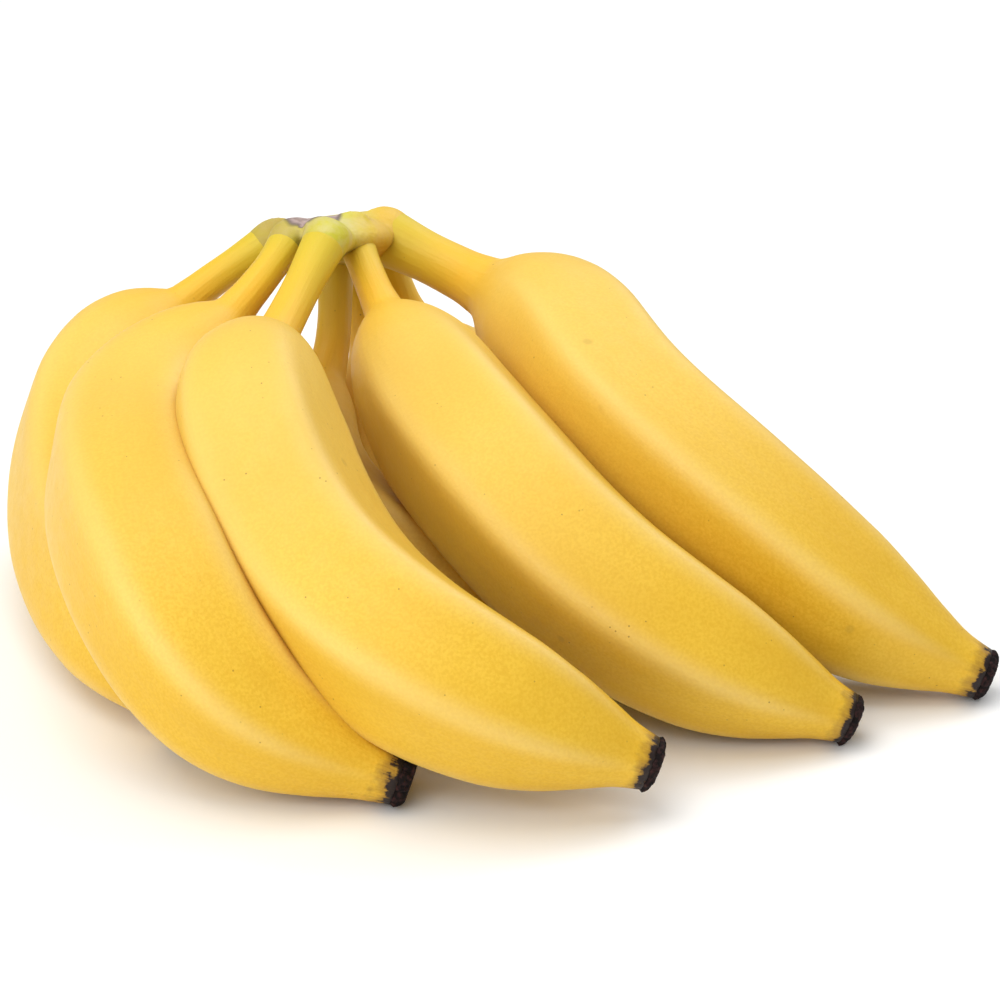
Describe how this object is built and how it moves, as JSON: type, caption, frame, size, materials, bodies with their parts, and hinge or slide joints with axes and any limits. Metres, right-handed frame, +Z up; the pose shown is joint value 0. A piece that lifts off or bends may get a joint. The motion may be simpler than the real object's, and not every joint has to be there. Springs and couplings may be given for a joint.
{
  "type": "bunch of bananas",
  "caption": "Hand of ripe yellow bananas on one crown, lying on its side: long curved fingers with blunt ridges, slender necks and dry dark flower ends.",
  "frame": {"origin": "on the table, in the middle of the bounding box", "axes": "+Z up from the table, +X the way the tips point, -Y the side the bunch is seen from, with the crown at the back"},
  "size_m": [0.2219, 0.1898, 0.0863],
  "materials": {
    "peel": "ripe yellow peel, waxy satin",
    "crown": "green-yellow stalk, matt, with a dry grey cut",
    "flower_end": "dry and black, rough"
  },
  "bodies": {
    "root": {"crown": "crown", "finger_outer_3": "peel", "finger_outer_4": "peel", "finger_outer_5": "peel", "finger_outer_2": "peel", "finger_outer_1": "peel", "finger_inner_1": "peel", "finger_inner_2": "peel", "finger_inner_3": "peel", "flower_end_outer_3": "flower_end", "flower_end_outer_4": "flower_end", "flower_end_outer_5": "flower_end", "flower_end_outer_2": "flower_end", "flower_end_outer_1": "flower_end", "flower_end_inner_1": "flower_end", "flower_end_inner_2": "flower_end", "flower_end_inner_3": "flower_end"}
  },
  "joints": []
}
